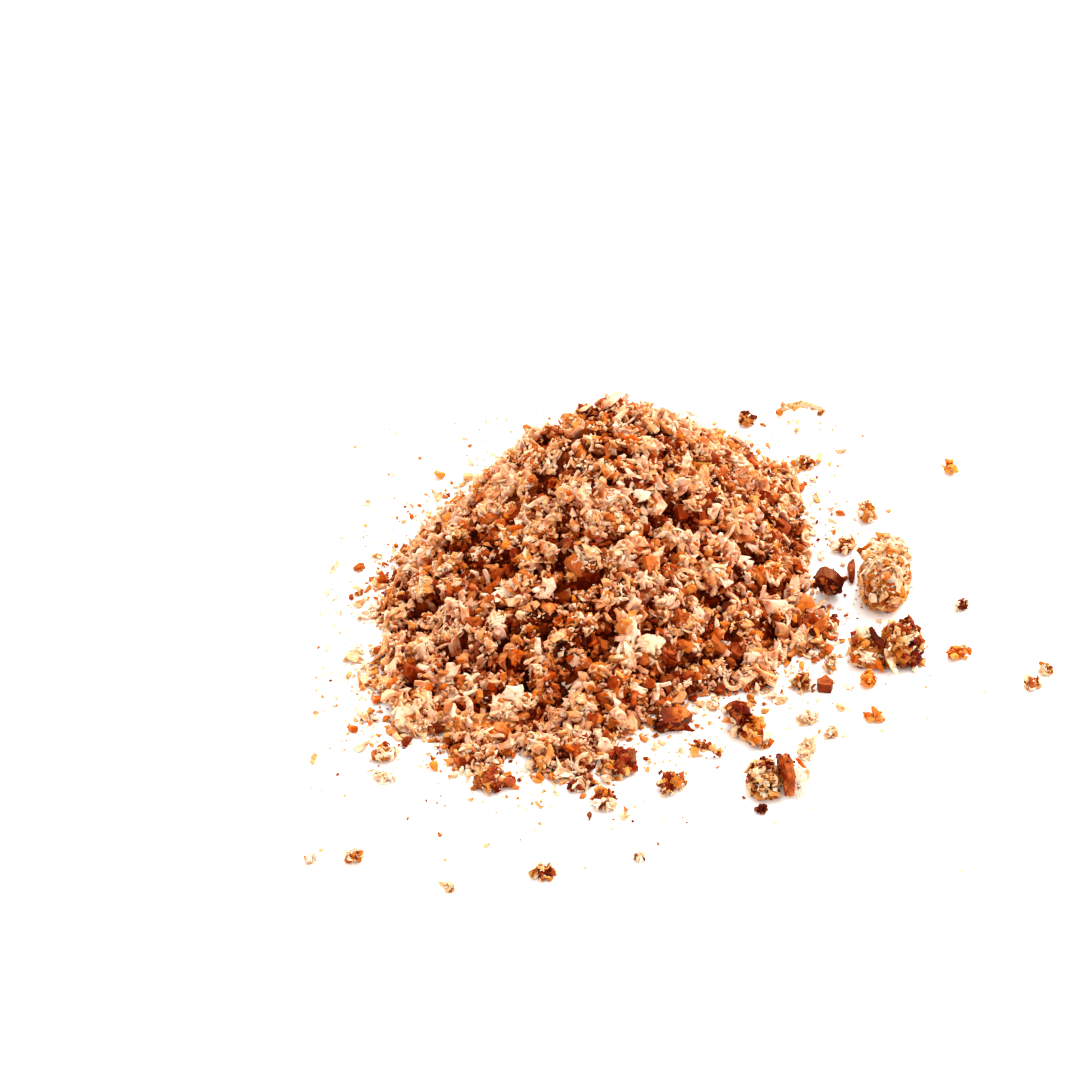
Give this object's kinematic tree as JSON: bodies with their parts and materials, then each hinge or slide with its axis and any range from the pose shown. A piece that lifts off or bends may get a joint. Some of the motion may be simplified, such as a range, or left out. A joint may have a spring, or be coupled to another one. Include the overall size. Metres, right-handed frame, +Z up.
{
  "type": "ground nutmeg heap",
  "caption": "Small leaning heap of coarsely ground nutmeg with a ragged foot, and the loose lumps, shell chips and crumbs that lie round it.",
  "frame": {"origin": "on the table, in the middle of the box round the heap and its crumbs", "axes": "+Z up; +X to the right of the long front slope, towards the loose lumps; +Y towards the steep back"},
  "size_m": [0.046, 0.0476, 0.0091],
  "materials": {
    "gratings": "matte mix of cream, tan, rust and near-black gratings",
    "cream": "matte pale kernel flakes, slightly translucent at the edges",
    "tan": "matte granular kernel crumb",
    "orange": "slightly oily orange crumb",
    "russet": "slightly oily reddish brown crumb",
    "umber": "fibrous dark brown shell",
    "bark": "rough near-black shell"
  },
  "bodies": {
    "root": {"heap": "gratings", "lump_round": "gratings", "lump_twin": "tan", "lump_banded": "tan", "clump_front": "russet", "clump_spur": "russet", "clump_left": "russet", "clump_dark": "umber", "shell_chip": "bark", "plate_chip": "umber", "chip_angular": "umber", "sliver_shell": "umber", "sliver_back": "tan", "crescent": "russet", "crumb_01": "orange", "crumb_02": "russet", "crumb_03": "russet", "crumb_04": "russet", "crumb_05": "tan", "crumb_06": "orange", "crumb_07": "russet", "crumb_08": "orange", "crumb_09": "umber", "crumb_10": "tan", "crumb_11": "russet", "crumb_12": "umber", "crumb_13": "umber", "crumb_14": "orange", "crumb_15": "russet", "crumb_16": "bark", "crumb_17": "cream", "crumb_18": "cream", "crumb_19": "tan", "crumb_20": "russet", "crumb_21": "cream", "crumb_22": "tan", "crumb_23": "tan", "crumb_24": "tan", "crumb_25": "russet", "crumb_26": "tan"}
  },
  "joints": []
}
